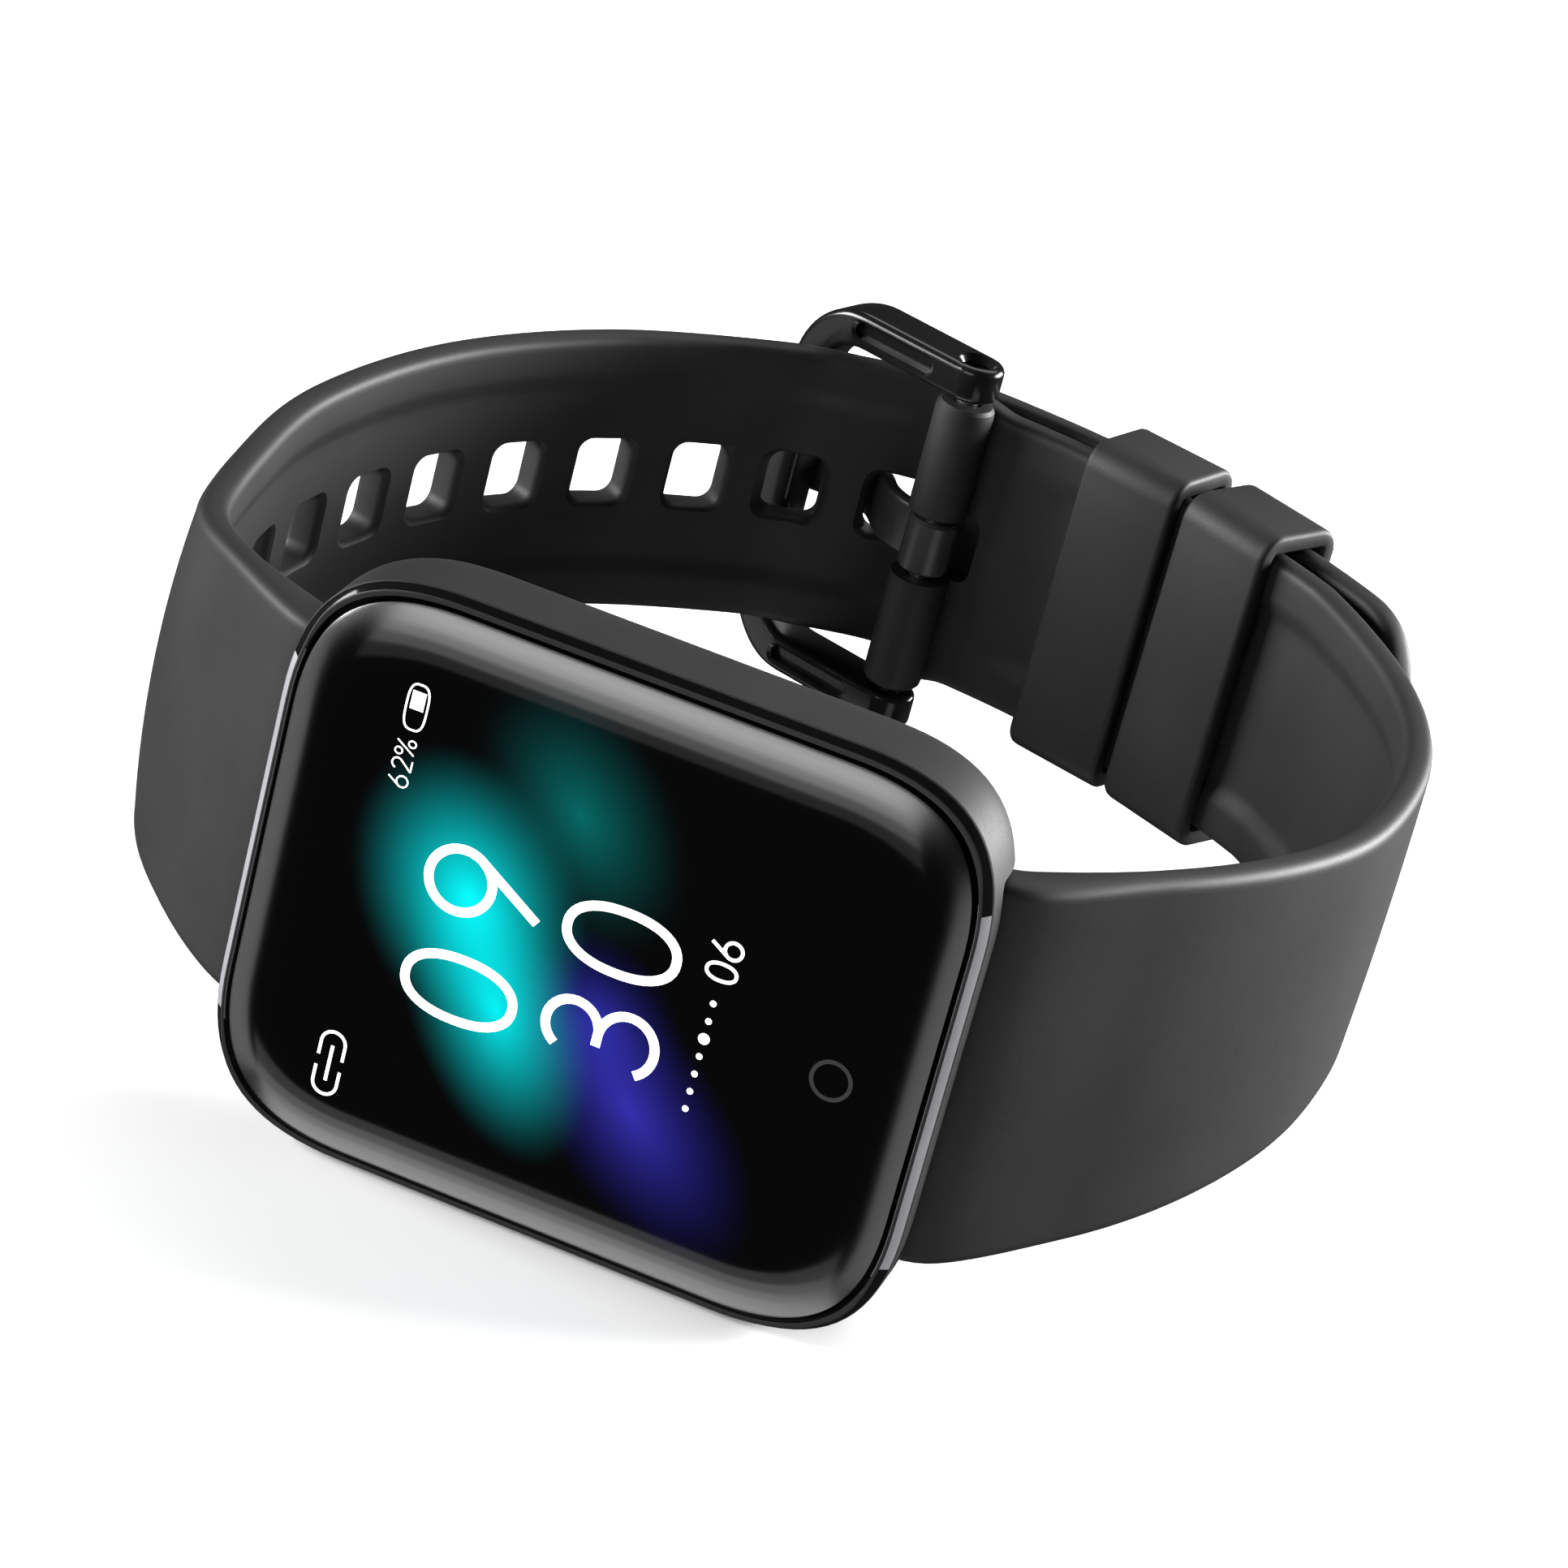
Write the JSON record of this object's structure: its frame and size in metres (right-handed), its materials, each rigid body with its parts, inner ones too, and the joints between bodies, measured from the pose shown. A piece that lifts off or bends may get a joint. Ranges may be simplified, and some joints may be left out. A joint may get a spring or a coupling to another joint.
{
  "type": "smartwatch",
  "caption": "Rectangular touch-screen smartwatch with curved glass, lying on its side, with a buckled silicone wrist band, square adjustment holes and sliding keepers",
  "frame": {"origin": "centre of the base of the bounding box, on the surface the watch lies on", "axes": "+X from 12 to 6 o'clock, +Y from the display towards the clasp, +Z from the 9 o'clock side up to the 3 o'clock side"},
  "size_m": [0.0734, 0.0798, 0.036],
  "materials": {
    "case": "dark coated metal, satin",
    "back": "fine matte",
    "seal": "matte seal",
    "steel": "turned steel",
    "window": "dark tinted optical window",
    "contact": "gold plated",
    "glass": "polished with curved edge",
    "display": "lit screen, dark blue and cyan glow",
    "foil": "foil wrapped",
    "chip": "moulded package",
    "board": "lacquered circuit board",
    "led": "clear resin",
    "band": "soft-touch silicone, matte",
    "buckle": "polished black coated metal with facets"
  },
  "bodies": {
    "watch": {"case_body": "case", "back_cover": "back", "back_gasket": "seal", "back_screw_1": "steel", "back_screw_2": "steel", "back_screw_3": "steel", "back_screw_4": "steel", "sensor_window": "window", "charging_pin_1": "contact", "charging_pin_2": "contact", "glass_lens": "glass", "glass_gasket": "seal", "display_panel": "display", "display_backing": "foil", "display_driver": "chip", "inner_frame": "back", "battery": "foil", "main_board": "board", "shield_can": "foil", "processor_chip": "chip", "motion_sensor": "chip", "vibration_motor": "steel", "flex_cable": "contact", "charging_magnet_1": "steel", "charging_magnet_2": "steel", "sensor_baffle": "back", "heart_led_1": "led", "heart_led_2": "led", "photodiode": "chip", "strap_long": "band", "strap_short": "band", "bar_tube_12": "steel", "bar_pin_12": "steel", "bar_spring_12": "steel", "bar_tube_6": "steel", "bar_pin_6": "steel", "bar_spring_6": "steel"},
    "buckle": {"buckle_frame": "buckle", "buckle_pin": "steel"},
    "tongue": {"buckle_tongue": "buckle"},
    "keeper_near": {"keeper_1": "band"},
    "keeper_far": {"keeper_2": "band"},
    "release_12": {"quick_pin_12": "steel"},
    "release_6": {"quick_pin_6": "steel"}
  },
  "joints": [
    {"name": "buckle_hinge", "type": "hinge", "parent": "watch", "child": "buckle", "pos_m": [-0.0034, 0.03295, 0.018], "axis": [0, 0, 1], "range_deg": [-3, 0]},
    {"name": "tongue_hinge", "type": "hinge", "parent": "buckle", "child": "tongue", "pos_m": [-0.0034, 0.03295, 0.018], "axis": [0, 0, 1], "range_deg": [-3, 0]},
    {"name": "keeper_near_slide", "type": "hinge", "parent": "watch", "child": "keeper_near", "pos_m": [-0.0067, -0.01735, 0.018], "axis": [0, 0, 1], "range_deg": [0, 6.5]},
    {"name": "keeper_far_slide", "type": "hinge", "parent": "watch", "child": "keeper_far", "pos_m": [-0.0067, -0.01735, 0.018], "axis": [0, 0, 1], "range_deg": [-3.5, 0.6]},
    {"name": "release_slide_12", "type": "slide", "parent": "watch", "child": "release_12", "axis": [0, 0, 1], "range_m": [-0.0015, 0], "stiffness_N_per_m": 200, "springref_m": 0.001, "deforming": ["bar_spring_12"]},
    {"name": "release_slide_6", "type": "slide", "parent": "watch", "child": "release_6", "axis": [0, 0, 1], "range_m": [-0.0015, 0], "stiffness_N_per_m": 200, "springref_m": 0.001, "deforming": ["bar_spring_6"]}
  ]
}
